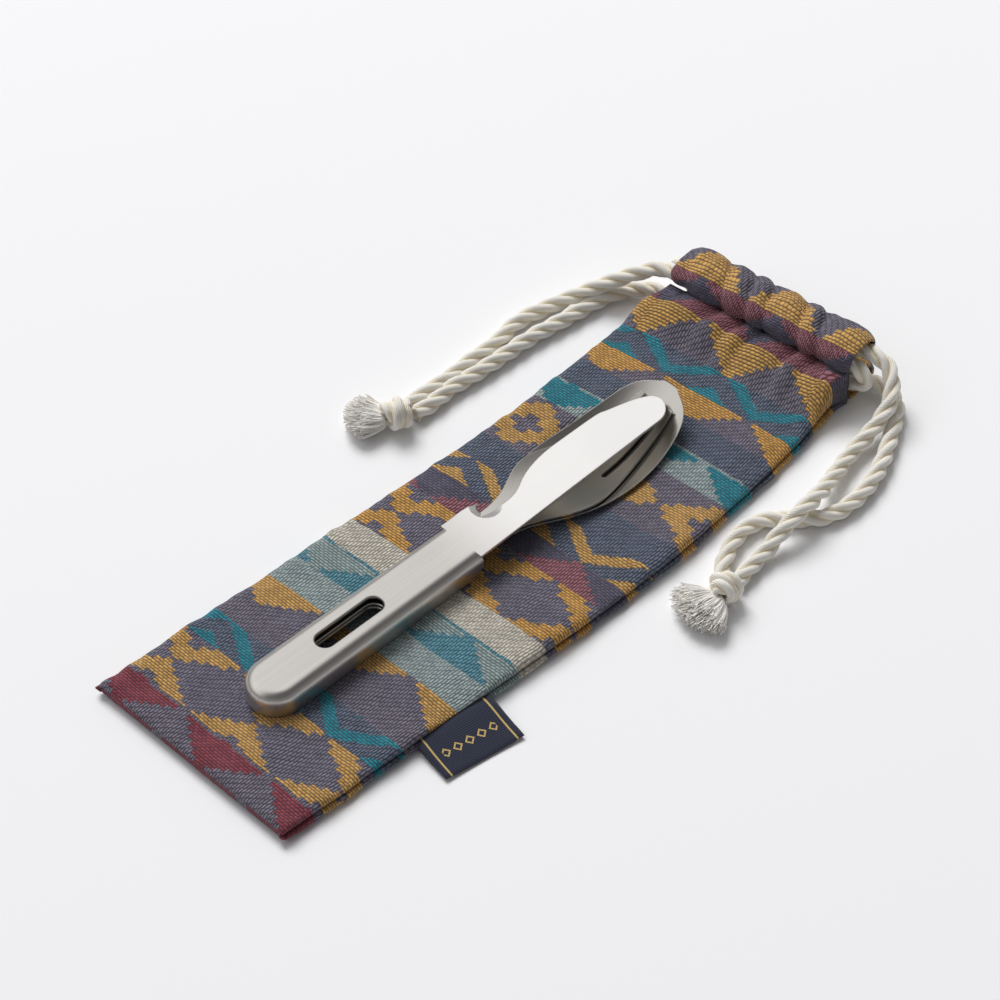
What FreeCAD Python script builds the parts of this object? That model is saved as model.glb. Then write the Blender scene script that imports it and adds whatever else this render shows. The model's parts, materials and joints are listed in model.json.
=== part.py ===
"""Nesting picnic cutlery (knife, fork and spoon) lying on its drawstring pouch.

Frame: +X from the handles' butts to the bowls, +Y away, +Z up, Z = 0 under the pouch.
The origin is under the middle of the set without its cords.  Millimetres throughout.
"""
import FreeCAD, Part
import math
import os

from FreeCAD import Vector

os.makedirs("parts", exist_ok=True)

# --- Driving dimensions -------------------------------------------------------------
# The set as it lies
butt_x = -108.5            # the knife's butt
axis_y = 8.5               # the cutlery's centre line
nest_turn = 0.35           # degrees that the fork and spoon lie turned inside the knife
rest_gap = 0.3             # between pieces that rest on or in each other
nest_gap = 0.45            # straight up from the spoon's sheet to the fork's
cutter_reach = 400.0       # cutters run well past the set

# Knife: one pressed sheet, its handle a channel open below
knife_sheet = 1.0
knife_length = 175.7
knife_width = 19.0
knife_neck_width = 18.0
knife_depth = 8.2
knife_shoulder = 3.5
wall_length = 88.3         # from the butt to where the side walls end
wall_sweep = 15.0          # length over which the walls' lower edge curves up
wall_end_depth = 4.6       # height left of each wall at its end
blade_tip_y = -1.0
blade_back = (32.0, 9.0)   # highest point of the blade's back: from the tip, and from the centre line
blade_waist = (56.0, 5.6)  # where the back runs down towards the opener

# Bottle opener in the blade's back
opener_x = 98.7            # root of the claw, from the butt
opener_y = 3.3
opener_length = 9.1
claw_reach = 5.6
claw_rise = 4.3
bevel_width = 2.6

# Hanging slot, in line through all three handles
slot_centre = 40.0
slot_length = 26.6
slot_width = 6.5
slot_rim_bevel = 0.3

# Fork
fork_sheet = 1.0
fork_start = 2.4
fork_end = 175.2
fork_handle_half = 7.7
fork_neck_half = 7.1
fork_flange = 2.6
fork_flange_end = 90.3
fork_below_knife = 3.3     # from the knife's top face to the fork's
tine_count = 4
gap_width = 1.9
gap_root = 145.0
gap_spread = 6.2           # between the gaps at their roots
gap_spread_tip = 3.9       # between the gaps at the tips

# Spoon
spoon_sheet = 1.0
spoon_start = 3.4
spoon_end = 181.8
spoon_handle_half = 6.4
spoon_neck_half = 5.8
spoon_flange = 3.2
spoon_flange_end = 93.3
spoon_below_fork = 1.6
bowl_start = 98.0          # where the handle begins to dip into the bowl
bowl_centre = 149.0
bowl_half = 16.8
bowl_under = 2.2           # height of the bowl's lowest point over the table
bowl_tip_rise = 12.0
bowl_side_rise = 3.1
tip_run = 30.0             # outline round the tip that is cut in short lengths, on each side
tip_parts = 20

# Pouch
cloth = 0.8
pouch_length = 267.6       # from the closed end to the mouth's near corner
pouch_thick = 5.8
pouch_edge_radius = 2.4
near_corner_y = -31.5      # each side edge runs straight from its corner at the closed end
near_bend = (-16.0, -36.0)  # to its bend, then curves on to the throat
near_bend_radius = 537.0
far_corner_y = 50.0
far_bend = (4.0, 44.8)
far_bend_radius = 619.0
throat_length = 7.0        # the cloth between the flat pouch and the casings
dimple_radius = 26.0       # the round hollow that the bowl presses into the upper cloth
dimple_back = 3.0          # from under the bowl's lowest point to the hollow's, to the handles

# Casings: the two tunnels for the drawcords, one along each lip of the mouth
casing_length = 71.0
casing_width = 16.6
casing_height = 7.6
casing_radius = 2.6
mouth_gap = 4.6
mouth_y = 8.5              # the middle of the mouth
mouth_turn = 8.0           # degrees that the mouth lies askew, its far end nearer the handles

# Woven label, folded over and sewn into the near side seam
label_x = -66.5            # middle of its sewn edge
label_width = 29.0
label_reach = 50.0         # how far out its free corner lies
label_thick = 1.2
label_turn = -8.3
label_seam_y = -30.5

# Drawcords
cord_diameter = 5.0
cord_sides = 10            # the cord's plain solid has this many flat sides
cord_run_gap = 3.4         # from the casings' middle to each cord's run
cord_pull = 5.0            # slack that each cord can be pulled before its bend meets the cloth
knot_length = 13.5
knot_width = 12.0
tassel_length = 10.5
tassel_root = 7.0
tassel_end = 15.0
tassel_height = 5.0
far_tassel_turn = -48.0    # degrees from the way its cord comes into the knot
near_tassel_turn = 8.0


# --- Helpers ------------------------------------------------------------------------
def prism(points, height, z=0.0):
    """Straight-sided prism over a polygon of (x, y) points."""
    corners = [Vector(x, y, z) for x, y in points]
    face = Part.Face(Part.makePolygon(corners + corners[:1]))
    return face.extrude(Vector(0, 0, height))


def box(x0, x1, y0, y1, z0, z1):
    return Part.makeBox(x1 - x0, y1 - y0, z1 - z0, Vector(x0, y0, z0))


def layer(z0, z1):
    """All of the space between two heights."""
    return box(-cutter_reach, cutter_reach, -cutter_reach, cutter_reach, z0, z1)


def past(x):
    """All of the space past one x."""
    return box(x, x + cutter_reach, -cutter_reach, cutter_reach, -cutter_reach, cutter_reach)


def side_prism(points, y0, y1):
    """Prism along Y over a polygon of (x, z) points."""
    corners = [Vector(x, y0, z) for x, z in points]
    face = Part.Face(Part.makePolygon(corners + corners[:1]))
    return face.extrude(Vector(0, y1 - y0, 0))


def spline(points, start_tangent=None, end_tangent=None):
    curve = Part.BSplineCurve()
    nodes = [Vector(x, y, 0) for x, y in points]
    if start_tangent:
        curve.interpolate(Points=nodes, InitialTangent=Vector(*start_tangent),
                          FinalTangent=Vector(*end_tangent))
    else:
        curve.interpolate(nodes)
    return curve.toShape()


def line(a, b):
    return Part.LineSegment(Vector(a[0], a[1], 0), Vector(b[0], b[1], 0)).toShape()


def arc(a, b, c):
    return Part.Arc(Vector(a[0], a[1], 0), Vector(b[0], b[1], 0), Vector(c[0], c[1], 0)).toShape()


def blank(edges, z0, z1):
    """Prism over a closed outline given as edges in the plane z = 0."""
    wire = Part.Wire(Part.__sortEdges__(edges))
    face = Part.Face(wire)
    face.translate(Vector(0, 0, z0))
    return face.extrude(Vector(0, 0, z1 - z0))


def stadium_slot(half_width, z0, z1):
    """Round-ended prism for the hanging slot, in the cutlery's own frame."""
    straight = (slot_length - slot_width) / 2
    left, right = slot_centre - straight, slot_centre + straight
    edges = [line((left, -half_width), (right, -half_width)),
             arc((right, -half_width), (right + half_width, 0), (right, half_width)),
             line((right, half_width), (left, half_width)),
             arc((left, half_width), (left - half_width, 0), (left, -half_width))]
    return blank(edges, z0, z1)


def edges_at(shape, z, tolerance=1e-4):
    """Edges that lie wholly at one height."""
    return [e for e in shape.Edges
            if abs(e.BoundBox.ZMin - z) < tolerance and abs(e.BoundBox.ZMax - z) < tolerance]


def rim_bevelled_slot(top, sheet):
    """Cutter for the hanging slot through one sheet, its upper rim bevelled."""
    through = stadium_slot(slot_width / 2, top - 4 * sheet, top + sheet)
    rim = stadium_slot(slot_width / 2 + slot_rim_bevel, top - slot_rim_bevel, top + sheet)
    rim = rim.makeChamfer(slot_rim_bevel * 0.95, edges_at(rim, top - slot_rim_bevel))
    return through.fuse(rim)


def tapered_bar(x0, x1, half0, half1, end_x, inset, z0, z1):
    """Prism with a full round at x0 and straight sides that reach half1 at x1 and stop at end_x."""
    centre = x0 + half0
    length = x1 - centre
    taper = math.asin(half0 / math.hypot(length, half1)) - math.atan2(half1, length)
    radius = half0 - inset
    touch = (centre + radius * math.sin(taper), radius * math.cos(taper))
    end_half = touch[1] - (end_x - touch[0]) * math.tan(taper)
    edges = [arc(touch, (centre - radius, 0), (touch[0], -touch[1])),
             line((touch[0], -touch[1]), (end_x, -end_half)),
             line((end_x, -end_half), (end_x, end_half)),
             line((end_x, end_half), touch)]
    return blank(edges, z0, z1)


def channel(x0, x1, half0, half1, top, depth, sheet, radius):
    """Pressed handle: a channel open below and at x1, closed and round at x0."""
    open_end = x1 + 2 * radius
    outer = tapered_bar(x0, x1, half0, half1, open_end, 0, top - depth, top)
    outer = outer.makeFillet(radius, [e for e in edges_at(outer, top) if e.CenterOfMass.x < x1])
    inner = tapered_bar(x0, x1, half0, half1, open_end + sheet, sheet, top - 2 * depth, top - sheet)
    inner = inner.makeFillet(max(radius - sheet, 0.3),
                             [e for e in edges_at(inner, top - sheet) if e.CenterOfMass.x < x1])
    return outer.cut(inner).cut(past(x1))


def place(shape, turn=0.0):
    """From the cutlery's own frame (x from the butt, y from its centre line) to the set's."""
    moved = shape.copy()
    moved.rotate(Vector(slot_centre, 0, 0), Vector(0, 0, 1), turn)
    moved.translate(Vector(butt_x, axis_y, 0))
    return moved


def save(name, shape):
    solids = shape.Solids
    assert len(solids) == 1, f"{name}: {len(solids)} solids"
    assert solids[0].isValid(), f"{name} is not valid"
    solids[0].exportStep(f"parts/{name}.step")
    size = solids[0].optimalBoundingBox(True)
    print(f"{name:20s} x {size.XMin:7.1f} {size.XMax:7.1f}  y {size.YMin:7.1f} {size.YMax:7.1f}"
          f"  z {size.ZMin:5.1f} {size.ZMax:5.1f}  volume {solids[0].Volume:9.1f}")
    return solids[0]


# --- Heights that follow ------------------------------------------------------------
knife_top = pouch_thick + rest_gap + knife_depth
fork_top = knife_top - fork_below_knife
spoon_top = fork_top - spoon_below_fork


# --- Knife --------------------------------------------------------------------------
def knife_blade():
    """Flat blade in the plane of the handle's top, with the bottle opener in its back."""
    half = knife_neck_width / 2
    tip = (knife_length, blade_tip_y)
    notch_end = (opener_x + opener_length + 2.5, opener_y - 1.1)
    chord_end = (opener_x + opener_length, opener_y - 1.2)
    claw_tip = (opener_x + claw_reach, opener_y + claw_rise)
    back_top = (knife_length - blade_back[0], blade_back[1])
    waist = (knife_length - blade_waist[0], blade_waist[1])
    back_start = ((back_top[0] + waist[0]) / 2, blade_back[1] - 0.3)
    start = wall_length - 1.0
    edges = [
        line((start, -half), (knife_length - 8.0, -half + 2.1)),
        arc((knife_length - 8.0, -half + 2.1), (knife_length - 2.2, -half + 4.3), tip),
        spline([tip, (knife_length - 3.0, 3.6), (knife_length - 16.0, 7.9), back_top],
               (0, 1, 0), (-1, 0, 0)),
        spline([back_top, back_start, waist, notch_end],
               (-1, 0, 0), (-1, -0.08, 0)),
        line(notch_end, chord_end),
        line(chord_end, (opener_x, opener_y)),
        line((opener_x, opener_y), claw_tip),
        arc(claw_tip, (opener_x + 0.6, half - 0.15), (opener_x - 6.0, half)),
        line((opener_x - 6.0, half), (start, half)),
        line((start, half), (start, -half)),
    ]
    return blank(edges, knife_top - knife_sheet, knife_top)


def opener_bevel():
    """Cone with an upright axis: it thins the edge that the claw levers against."""
    half_chord = opener_length / 2
    radius = (half_chord ** 2 + bevel_width ** 2) / (2 * bevel_width)
    centre = Vector(opener_x + half_chord, opener_y - 0.6 - bevel_width + radius,
                    knife_top - knife_sheet)
    slope = bevel_width / knife_sheet
    spare = 0.2
    return Part.makeCone(radius - bevel_width, radius + spare * slope, knife_sheet + spare, centre)


def knife():
    half = knife_width / 2
    neck = knife_neck_width / 2
    handle = channel(0, wall_length, half, neck, knife_top, knife_depth, knife_sheet,
                     knife_shoulder)
    low = knife_top - knife_depth
    high = knife_top - wall_end_depth
    foot = wall_length - wall_sweep
    side = -knife_width        # the cutter runs from well outside one wall to the other
    profile = Part.BezierCurve()
    profile.setPoles([Vector(foot, side, low), Vector(foot + 0.6 * wall_sweep, side, low),
                      Vector(wall_length, side, low + 0.35 * (high - low)),
                      Vector(wall_length, side, high)])
    end_high = Vector(wall_length + knife_sheet, side, high)
    end_low = Vector(wall_length + knife_sheet, side, low - knife_sheet)
    foot_low = Vector(foot, side, low - knife_sheet)
    outline = Part.makePolygon([Vector(wall_length, side, high), end_high, end_low, foot_low,
                                Vector(foot, side, low)])
    sweep = Part.Face(Part.Wire([profile.toShape()] + outline.Edges))
    sweep = sweep.extrude(Vector(0, 2 * knife_width, 0))
    handle = handle.cut(sweep)
    body = handle.fuse(knife_blade()).removeSplitter()
    body = body.cut(rim_bevelled_slot(knife_top, knife_sheet))
    return body.cut(opener_bevel())


# --- Pressed heads of the spoon and fork ---------------------------------------------
def ease(t):
    """Smooth step from 0 to 1."""
    t = min(max(t, 0.0), 1.0)
    return (1 - math.cos(math.pi * t)) / 2


def bowl_height(x, y):
    """Underside of the spoon's sheet, in the cutlery's own frame."""
    handle = spoon_top - spoon_sheet
    side = bowl_side_rise * (y / bowl_half) ** 2
    if x >= bowl_centre:
        along = bowl_tip_rise * ((x - bowl_centre) / (spoon_end - bowl_centre)) ** 2
        return bowl_under + along + side
    t = (x - bowl_start) / (bowl_centre - bowl_start)
    return handle + (bowl_under - handle) * ease(t) + side * ease(1.6 * t)


def pressed_sheet(height, x0, x1, half, sheet, steps=22, rows=9):
    """Sheet of one thickness whose underside follows height(x, y)."""
    grid = []
    for i in range(steps):
        x = x0 + (x1 - x0) * i / (steps - 1)
        row = []
        for j in range(rows):
            y = half * (2 * j / (rows - 1) - 1)
            row.append(Vector(x, y, height(x, y)))
        grid.append(row)
    surface = Part.BSplineSurface()
    surface.interpolate(grid)
    return surface.toShape().extrude(Vector(0, 0, sheet))


def in_short_lengths(edge):
    """The edge's last run, round the tip, as short edges, so that a mesh of it stays round."""
    cuts = [edge.Length - tip_run * i / tip_parts for i in range(tip_parts, 0, -1)]
    return edge.split([edge.getParameterByLength(cut) for cut in cuts]).Edges


def head_blank(half_widths, end):
    """Blank of a head: half-widths along the centre line, mirrored, closed by a round tip."""
    far = spline(half_widths + [(end, 0)], (1, 0, 0), (0, -1, 0))
    near = spline([(x, -y) for x, y in half_widths] + [(end, 0)], (1, 0, 0), (0, 1, 0))
    x0, y0 = half_widths[0]
    edges = in_short_lengths(far) + in_short_lengths(near)
    return blank(edges + [line((x0, -y0), (x0, y0))], -cutter_reach, cutter_reach)


def flanged_handle(start, end, half, neck_half, top, depth, sheet, chamfer):
    """Shallow channel handle; its side flanges end with a slanted cut."""
    handle = channel(start, end, half, neck_half, top, depth, sheet, sheet + 0.6)
    for side in (-1, 1):
        cut = side_prism([(end - chamfer, top - depth - sheet), (end + sheet, top - depth - sheet),
                          (end + sheet, top - sheet), (end, top - sheet)],
                         side * neck_half - 2.5 * sheet, side * neck_half + 2.5 * sheet)
        handle = handle.cut(cut)
    return handle


def spoon():
    bowl = pressed_sheet(bowl_height, bowl_start - 6, spoon_end + 2, bowl_half + 3, spoon_sheet)
    outline = head_blank([(bowl_start - 5, spoon_neck_half - 0.05), (bowl_start + 5, 6.1),
                          (bowl_start + 14, 8.0), (bowl_start + 24, 12.6),
                          (bowl_start + 34, 15.8), (bowl_centre - 4, bowl_half),
                          (bowl_centre + 9, 16.0), (spoon_end - 13.8, 14.2),
                          (spoon_end - 6.8, 11.6), (spoon_end - 2.6, 7.3),
                          (spoon_end - 0.7, 3.8)], spoon_end)
    bowl = bowl.common(outline)
    handle = flanged_handle(spoon_start, spoon_flange_end, spoon_handle_half,
                            spoon_neck_half, spoon_top, spoon_flange, spoon_sheet, 2.0)
    body = bowl.fuse(handle).removeSplitter()
    return body.cut(rim_bevelled_slot(spoon_top, spoon_sheet))


def fork_height(x, y):
    """Underside of the fork's sheet: it follows the bowl just above the spoon's sheet."""
    handle = fork_top - fork_sheet
    nested = bowl_height(x, y) + spoon_sheet + nest_gap
    t = (x - bowl_start) / (bowl_centre - 12 - bowl_start)
    return nested + (handle - (spoon_top + nest_gap)) * (1 - ease(t))


def fork():
    head = pressed_sheet(fork_height, bowl_start - 9, fork_end + 4, bowl_half, fork_sheet)
    outline = head_blank([(bowl_start - 8, fork_neck_half - 0.05), (bowl_start + 4, 6.4),
                          (bowl_start + 16, 8.8), (bowl_start + 26, 13.4),
                          (bowl_start + 33, 14.9), (gap_root - 6, 14.0), (gap_root + 5, 11.4),
                          (gap_root + 17, 9.1), (fork_end, 6.9), (fork_end + 9, 4.6)],
                         fork_end + 11)
    head = head.common(outline)
    head = head.cut(past(fork_end))
    for i in range(tine_count - 1):
        place_in_row = i - (tine_count - 2) / 2
        y_root = place_in_row * gap_spread
        y_tip = place_in_row * gap_spread_tip
        half = gap_width / 2
        cut = prism([(gap_root, y_root - half), (fork_end + 2, y_tip - half),
                     (fork_end + 2, y_tip + half), (gap_root, y_root + half)], knife_top)
        root = Part.makeCylinder(half, knife_top, Vector(gap_root, y_root, 0))
        head = head.cut(cut.fuse(root))
    handle = flanged_handle(fork_start, fork_flange_end, fork_handle_half, fork_neck_half,
                            fork_top, fork_flange, fork_sheet, 1.2)
    body = head.fuse(handle).removeSplitter()
    return body.cut(rim_bevelled_slot(fork_top, fork_sheet))


# --- Pouch --------------------------------------------------------------------------
closed_x = -pouch_length / 2
front_casing_z = casing_height + mouth_gap
mouth_angle = math.radians(mouth_turn)
mouth_x = (pouch_length / 2 - casing_width * math.cos(mouth_angle)
           - casing_length / 2 * math.sin(mouth_angle))


def at_mouth(out, along, z):
    """Point in the mouth's frame: out from the casings' front edge, and along them to the far end."""
    return (mouth_x + out * math.cos(mouth_angle) - along * math.sin(mouth_angle),
            mouth_y + out * math.sin(mouth_angle) + along * math.cos(mouth_angle), z)


def place_at_mouth(shape):
    """From the mouth's frame (x out of the mouth, y along the casings) to the set's."""
    moved = shape.copy()
    moved.rotate(Vector(0, 0, 0), Vector(0, 0, 1), mouth_turn)
    moved.translate(Vector(mouth_x, mouth_y, 0))
    return moved


def side_curve(corner_y, bend, radius):
    """Slope of one side's straight run, and the centre of its curve."""
    slope = math.atan2(bend[1] - corner_y, bend[0] - closed_x)
    return slope, (bend[0] - radius * math.sin(slope), bend[1] + radius * math.cos(slope))


def side_edge(corner_y, bend, radius, shift):
    """One side of the pouch, shifted to its left: its straight run and its curve, and its ends."""
    end_x = pouch_length / 2 + throat_length + abs(shift)
    slope, centre = side_curve(corner_y, bend, radius)
    turn = (bend[0] - shift * math.sin(slope), bend[1] + shift * math.cos(slope))
    radius -= shift
    start_x = closed_x + abs(shift)
    start = (start_x, turn[1] + (start_x - turn[0]) * math.tan(slope))
    end_angle = math.asin((end_x - centre[0]) / radius)
    middle = (slope + end_angle) / 2
    via = (centre[0] + radius * math.sin(middle), centre[1] - radius * math.cos(middle))
    end = (end_x, centre[1] - radius * math.cos(end_angle))
    return [line(start, turn), arc(turn, via, end)], start, end


def pouch_slab(inset, z0, z1):
    """The flat pouch as a slab with rounded edges, inset all round; it runs on past the mouth."""
    near, near_start, near_end = side_edge(near_corner_y, near_bend, near_bend_radius, inset)
    far, far_start, far_end = side_edge(far_corner_y, far_bend, far_bend_radius, -inset)
    slab = blank(near + far + [line(near_start, far_start), line(near_end, far_end)], z0, z1)
    rounded = [e for e in slab.Edges
               if e.BoundBox.ZLength < 1e-3 and e.CenterOfMass.x < pouch_length / 2]
    return slab.makeFillet(pouch_edge_radius - inset, rounded)


def pouch_shell():
    """Both panels together, hollow, cut off square with the casings at the throat."""
    shell = pouch_slab(0, 0, pouch_thick)
    shell = shell.cut(pouch_slab(cloth, cloth, pouch_thick - cloth))
    return shell.cut(place_at_mouth(past(-throat_length)))


def bowl_dimple(offset):
    """Ball whose underside is the hollow that the bowl presses; offset moves its wall outwards."""
    lowest = bowl_under - rest_gap
    depth = pouch_thick - lowest
    radius = (dimple_radius ** 2 + depth ** 2) / (2 * depth)
    ball = Part.makeSphere(radius + offset, Vector(bowl_centre - dimple_back, 0, lowest + radius))
    return place(ball, nest_turn)


def side_at_throat(corner_y, bend, radius):
    """Where one side's curve meets the throat, measured along the casings."""
    centre = side_curve(corner_y, bend, radius)[1]
    from_centre = Vector(*at_mouth(-throat_length, 0, 0)) - Vector(*centre, 0)
    along = Vector(-math.sin(mouth_angle), math.cos(mouth_angle), 0).dot(from_centre)
    return -along - math.sqrt(along ** 2 - from_centre.dot(from_centre) + radius ** 2)


def throat(profile):
    """Band of cloth over an (out, z) profile, from the pouch's flat width to the casing's."""
    start = -throat_length - cloth
    near = side_at_throat(near_corner_y, near_bend, near_bend_radius) + pouch_edge_radius
    far = side_at_throat(far_corner_y, far_bend, far_bend_radius) - pouch_edge_radius
    half = casing_length / 2 - cloth
    plan = prism([(start, near), (0, -half), (0, half), (start, far)],
                 2 * cutter_reach, -cutter_reach)
    band = side_prism(profile, -casing_length, casing_length)
    return place_at_mouth(band.common(plan))


def front_panel():
    """Upper cloth, pressed down by the bowl and rising to its casing at the throat."""
    panel = pouch_shell().common(layer(pouch_thick / 2, pouch_thick))
    under_bowl = bowl_dimple(cloth).common(layer(0, pouch_thick))
    panel = panel.fuse(under_bowl).cut(bowl_dimple(0))
    start = -throat_length - cloth
    rise = throat([(start, pouch_thick - cloth), (0, front_casing_z),
                   (0, front_casing_z + cloth), (start, pouch_thick)])
    return panel.fuse(rise).removeSplitter()


def back_panel():
    """Lower cloth: flat on the table, running on to its casing."""
    panel = pouch_shell().common(layer(0, pouch_thick / 2))
    start = -throat_length - cloth
    flat = throat([(start, 0), (0, 0), (0, cloth), (start, cloth)])
    return panel.fuse(flat).removeSplitter()


def casing(z, joined_z):
    """Flat tunnel of cloth along one lip of the mouth; its panel joins the corner at joined_z."""
    half = casing_length / 2
    outer = box(0, casing_width, -half, half, z, z + casing_height)
    rounded = [e for e in outer.Edges if e.BoundBox.YLength > half
               and not (e.CenterOfMass.x < cloth and abs(e.CenterOfMass.z - joined_z) < cloth)]
    outer = outer.makeFillet(casing_radius, rounded)
    inner = box(cloth, casing_width - cloth, -half - cloth, half + cloth,
                z + cloth, z + casing_height - cloth)
    along = [e for e in inner.Edges if e.BoundBox.YLength > half]
    inner = inner.makeFillet(casing_radius - cloth, along)
    return place_at_mouth(outer.cut(inner))


def label():
    """Woven tab folded over once; it slopes from the seam to the table."""
    seam_z = pouch_thick / 2 - 0.2
    turn = math.radians(label_turn)
    reach = (label_reach + label_seam_y + label_width / 2 * math.sin(turn)) / math.cos(turn)
    profile = [Vector(0, 0, seam_z), Vector(0, -0.45 * reach, seam_z - 0.3),
               Vector(0, -reach, label_thick / 2)]
    path = Part.Arc(*profile).toShape()
    top = path.copy()
    top.translate(Vector(0, 0, label_thick / 2))
    under = path.copy()
    under.translate(Vector(0, 0, -label_thick / 2))
    face = Part.makeRuledSurface(top, under)
    tab = face.extrude(Vector(label_width, 0, 0))
    tab.translate(Vector(-label_width / 2, 0, 0))
    tab.rotate(Vector(0, 0, 0), Vector(0, 0, 1), label_turn)
    tab.translate(Vector(label_x, label_seam_y, 0))
    return tab.cut(pouch_slab(0, 0, pouch_thick))


# --- Drawcords ----------------------------------------------------------------------
floor_z = cord_diameter / 2
front_run_z = front_casing_z + casing_height / 2
back_run_z = casing_height / 2
far_lane = casing_width / 2 - cord_run_gap
near_lane = casing_width / 2 + cord_run_gap
far_turn = -casing_length / 2 - cord_diameter / 2 - cord_pull
near_turn = -far_turn


def cord_tube(name, points):
    """Round cord along straight runs joined by tangent arcs."""
    nodes = [Vector(*p) for p in points]
    edges = []
    radii = []
    start = nodes[0]
    for before, here, after in zip(nodes, nodes[1:], nodes[2:]):
        into = here - before
        out = after - here
        shorter = min(into.Length, out.Length)
        turn = into.getAngle(out)
        trim = 0.45 * shorter
        radii.append(trim / math.tan(turn / 2))
        into.normalize()
        out.normalize()
        bend_in = here - into * trim
        bend_out = here + out * trim
        bisector = (out - into).normalize()
        radius = radii[-1]
        centre = here + bisector * (radius / math.cos(turn / 2))
        middle = centre - bisector * radius
        edges.append(Part.LineSegment(start, bend_in).toShape())
        edges.append(Part.Arc(bend_in, middle, bend_out).toShape())
        start = bend_out
    edges.append(Part.LineSegment(start, nodes[-1]).toShape())
    path = Part.Wire(edges)
    first = (nodes[1] - nodes[0]).normalize()
    side = first.cross(Vector(0, 0, 1)).normalize()
    up = side.cross(first)
    corners = []
    for i in range(cord_sides):
        angle = 2 * math.pi * (i + 0.5) / cord_sides
        corners.append(nodes[0] + (side * math.cos(angle) + up * math.sin(angle))
                       * (cord_diameter / 2))
    section = Part.makePolygon(corners + corners[:1])
    tube = path.makePipeShell([section], True, False)
    area = Part.Face(section).Area
    print(f"{name}: length {path.Length:.1f}, volume ratio {tube.Volume / (area * path.Length):.4f},"
          f" radii " + " ".join(f"{r:.0f}" for r in radii))
    return tube


far_cord_points = [
    (14.5, 70.6, floor_z), (24.0, 71.2, floor_z), (34.0, 70.1, floor_z), (44.0, 71.2, floor_z),
    (56.0, 70.6, floor_z), (67.0, 73.6, floor_z), (78.0, 71.4, floor_z), (88.5, 67.2, 3.6),
    (97.6, 61.2, 8.0), (105.8, 54.2, 12.6), at_mouth(far_lane, 38.0, front_run_z),
    at_mouth(far_lane, far_turn, front_run_z), at_mouth(far_lane, far_turn, back_run_z),
    at_mouth(far_lane, 38.5, back_run_z), (107.3, 55.6, 3.2), (98.6, 60.6, floor_z),
    (88.5, 62.2, floor_z), (77.5, 63.4, floor_z), (66.0, 65.1, floor_z), (52.0, 65.2, floor_z),
    (39.0, 65.8, floor_z), (31.0, 66.8, floor_z), (22.0, 65.4, floor_z), (14.5, 66.2, floor_z)]

near_cord_points = [
    (34.6, -56.3, floor_z), (40.6, -55.2, floor_z), (46.8, -54.3, floor_z), (52.0, -53.7, 3.4),
    (58.6, -53.2, 6.4), (65.0, -53.1, 8.2), (74.0, -52.2, 8.2), (83.0, -49.6, 5.4),
    (93.0, -45.8, 3.2), (104.0, -43.3, 3.4), (114.4, -42.8, 5.4), (123.4, -41.6, 9.0),
    (129.2, -36.8, 13.2), at_mouth(near_lane, -40.0, front_run_z),
    at_mouth(near_lane, near_turn, front_run_z), at_mouth(near_lane, near_turn, back_run_z),
    at_mouth(near_lane, -41.5, back_run_z), (128.4, -39.0, 3.4), (121.0, -45.2, 2.8),
    (113.0, -49.4, floor_z), (105.0, -53.6, floor_z), (96.0, -57.0, floor_z),
    (86.0, -58.6, floor_z), (76.6, -57.8, floor_z), (69.6, -53.4, floor_z),
    (64.2, -46.8, floor_z), (57.2, -42.4, floor_z), (49.0, -42.4, floor_z),
    (42.0, -45.2, floor_z), (35.6, -48.8, floor_z), (30.8, -52.8, floor_z)]


far_knot = (8.7, 68.2)
near_knot = (28.4, -56.8)


def facetted(rings):
    """Closed solid through rings of points, with a flat cap at each end."""
    faces = []
    for ring in (rings[0], rings[-1]):
        faces.append(Part.Face(Part.makePolygon(ring + ring[:1])))
    for one, two in zip(rings, rings[1:]):
        for i in range(len(one)):
            j = (i + 1) % len(one)
            for corners in ((one[i], one[j], two[j]), (one[i], two[j], two[i])):
                faces.append(Part.Face(Part.makePolygon(list(corners) + [corners[0]])))
    solid = Part.Solid(Part.Shell(faces))
    if solid.Volume < 0:
        solid.reverse()
    return solid


def ring(x, y, z, half_width, half_height, sides=10):
    """Points of an upright ellipse across X."""
    angles = [2 * math.pi * (i + 0.5) / sides for i in range(sides)]
    return [Vector(x, y + half_width * math.cos(t), z + half_height * math.sin(t)) for t in angles]


def knot(x, y):
    """Overhand knot as one rounded lump with flat facets."""
    rings = []
    for along in (-0.92, -0.6, 0.0, 0.6, 0.92):
        half = knot_width / 2 * math.sqrt(1 - along ** 2)
        rings.append(ring(x + along * knot_length / 2, y, knot_width / 2, half, half))
    return facetted(rings)


def tassel(x, y, turn):
    """Frayed end: the cord's strands fan out past the knot at (x, y), turned about it."""
    root_x = x - knot_length / 2 + 0.8
    rings = [ring(root_x, y, tassel_root / 2 + 0.6, tassel_root / 2, tassel_root / 2),
             ring(root_x - tassel_length, y, tassel_height / 2, tassel_end / 2,
                  tassel_height / 2)]
    fan = facetted(rings)
    fan.rotate(Vector(x, y, 0), Vector(0, 0, 1), turn)
    return fan


# --- The set ------------------------------------------------------------------------
save("knife", place(knife()))
save("fork", place(fork(), nest_turn))
save("spoon", place(spoon(), nest_turn))
save("pouch_front_panel", front_panel())
save("pouch_back_panel", back_panel())
save("casing_front", casing(front_casing_z, front_casing_z))
save("casing_back", casing(0, 0))
save("label", label())
save("cord_far", cord_tube("cord_far", far_cord_points))
save("cord_near", cord_tube("cord_near", near_cord_points))
save("knot_far", knot(*far_knot))
save("knot_near", knot(*near_knot))
save("tassel_far", tassel(*far_knot, far_tassel_turn))
save("tassel_near", tassel(*near_knot, near_tassel_turn))
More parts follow.
